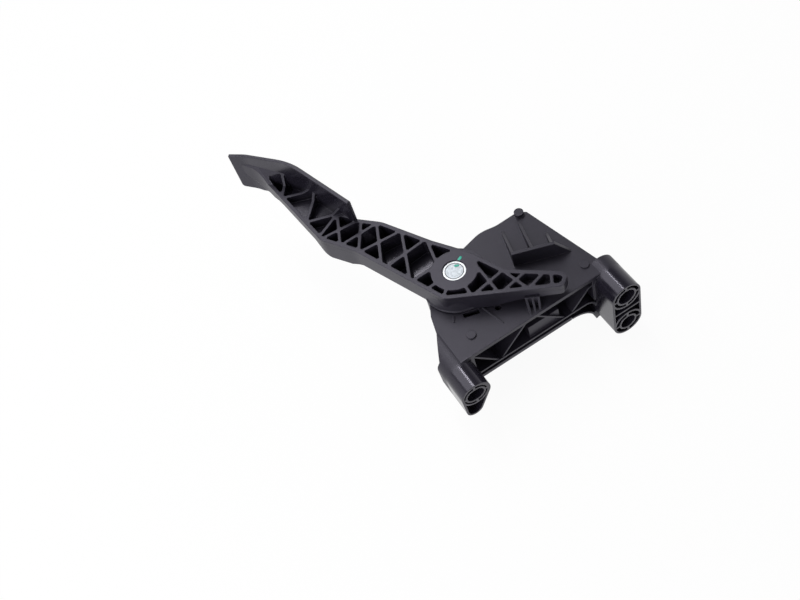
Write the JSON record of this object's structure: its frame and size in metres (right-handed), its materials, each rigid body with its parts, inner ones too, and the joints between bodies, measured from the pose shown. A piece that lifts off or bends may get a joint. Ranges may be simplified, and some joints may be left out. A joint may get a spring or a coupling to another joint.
{
  "type": "accelerator pedal",
  "caption": "Electronic accelerator pedal module: a ribbed lattice arm with a foot plate turns on a pin in a moulded housing with cored mounting lugs and a sensor box.",
  "frame": {"origin": "centre of the main mounting bore at its mouth on the mounting wall", "axes": "+Y away from the mounting wall, +X along the row of bores towards the main lug's outer side, +Z along the pedal's pivot, from the sensor lid to the arm's open rim"},
  "size_m": [0.1812, 0.2619, 0.0906],
  "materials": {
    "arm_plastic": "moulded, charcoal, fine texture",
    "housing_plastic": "moulded, charcoal, satin lugs",
    "seal_rubber": "smooth",
    "pin_steel": "turned, bright",
    "washer_plastic": "smooth",
    "bush_bronze": "sintered",
    "rotor_plastic": "moulded",
    "spring_steel": "drawn wire, oiled",
    "magnet_ferrite": "ground",
    "board_laminate": "solder mask",
    "chip_epoxy": "moulded",
    "contact_brass": "tinned",
    "screw_steel": "zinc plated"
  },
  "bodies": {
    "housing": {"back_cover": "housing_plastic", "circuit_board": "board_laminate", "cover_screw_1": "screw_steel", "cover_screw_2": "screw_steel", "cover_screw_3": "screw_steel", "cover_screw_4": "screw_steel", "front_bush": "bush_bronze", "housing": "housing_plastic", "inner_spring": "spring_steel", "lid_seal": "seal_rubber", "outer_spring": "spring_steel", "plug_contact_1": "contact_brass", "plug_contact_2": "contact_brass", "plug_contact_3": "contact_brass", "plug_contact_4": "contact_brass", "plug_contact_5": "contact_brass", "plug_contact_6": "contact_brass", "rear_bush": "bush_bronze", "sensor_chip_1": "chip_epoxy", "sensor_chip_2": "chip_epoxy", "sensor_lid": "housing_plastic", "thrust_washer": "washer_plastic"},
    "arm": {"pedal_arm": "arm_plastic", "pivot_pin": "pin_steel", "spring_rotor": "rotor_plastic", "spring_cup": "rotor_plastic", "retaining_ring": "spring_steel", "magnet_carrier": "rotor_plastic", "magnet": "magnet_ferrite"}
  },
  "joints": [
    {"name": "pedal_press", "type": "hinge", "parent": "housing", "child": "arm", "pos_m": [-0.086, 0.075, 0], "axis": [0, 0, 1], "range_deg": [0, 20], "stiffness_Nm_per_rad": 7.2, "springref_deg": -14.32, "deforming": ["outer_spring", "inner_spring"]}
  ]
}
